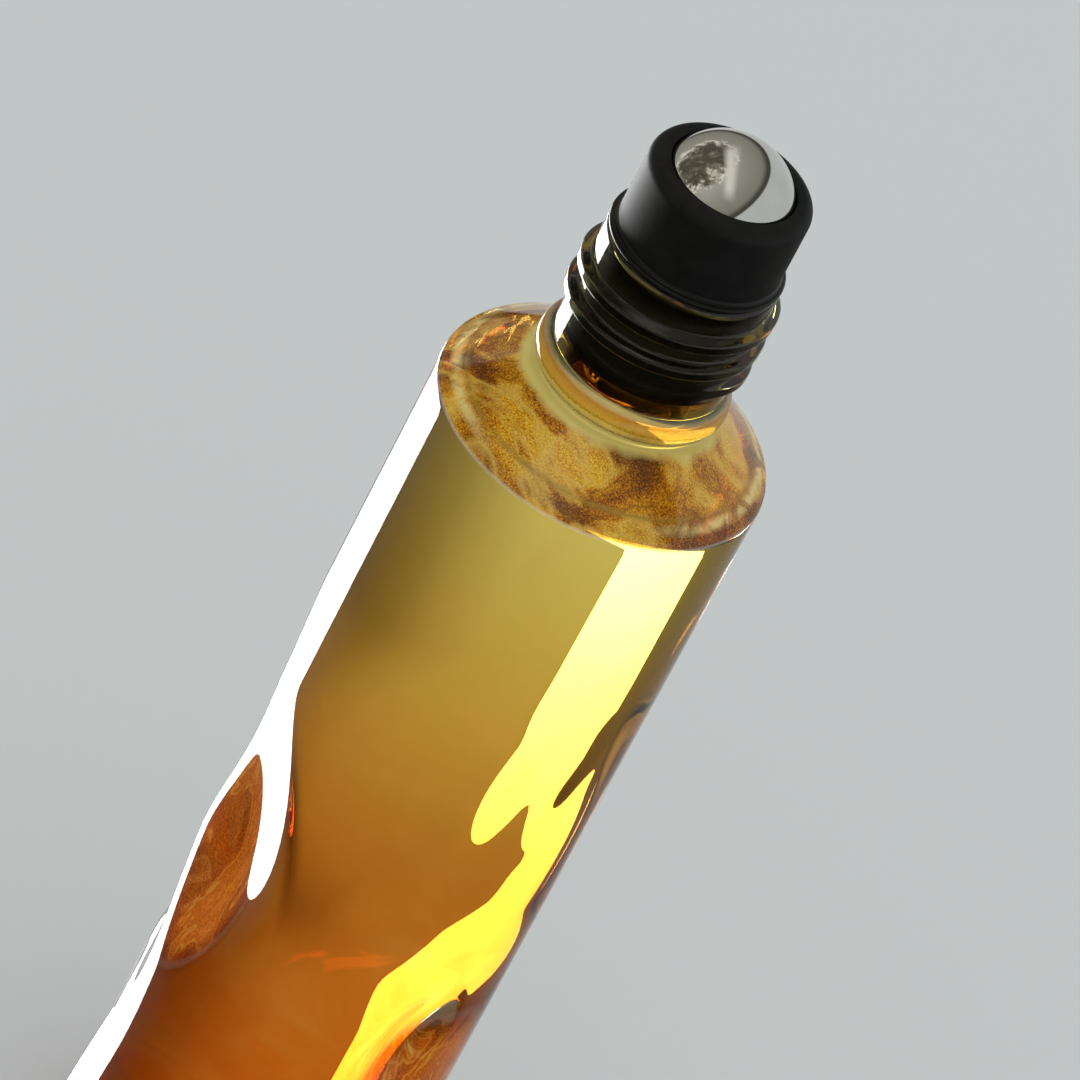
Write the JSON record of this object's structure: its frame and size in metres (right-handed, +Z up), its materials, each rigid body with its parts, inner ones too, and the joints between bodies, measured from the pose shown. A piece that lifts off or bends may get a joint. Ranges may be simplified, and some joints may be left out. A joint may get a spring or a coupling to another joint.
{
  "type": "roll-on bottle",
  "caption": "Thick-walled glass roll-on bottle of amber oil with a threaded neck and a caged steel roller ball.",
  "frame": {"origin": "centre of the face that the bottle stands on, under its base", "axes": "+Z up along the bottle's axis, towards the roller ball; the body is round, and the thread runs out on the -Y side near +X"},
  "size_m": [0.022, 0.022, 0.0942],
  "materials": {
    "glass": "clear, faintly yellow, polished",
    "black_plastic": "satin moulded, with a glossy flange",
    "polished_steel": "mirror polished",
    "oil": "clear amber liquid"
  },
  "bodies": {
    "bottle": {"glass_bottle": "glass", "roller_housing": "black_plastic", "amber_oil": "oil"},
    "ball": {"roller_ball": "polished_steel"}
  },
  "joints": [
    {"name": "ball_roll", "type": "hinge", "parent": "bottle", "child": "ball", "pos_m": [0, 0, 0.08973], "axis": [1, 0, 0], "continuous": true}
  ]
}
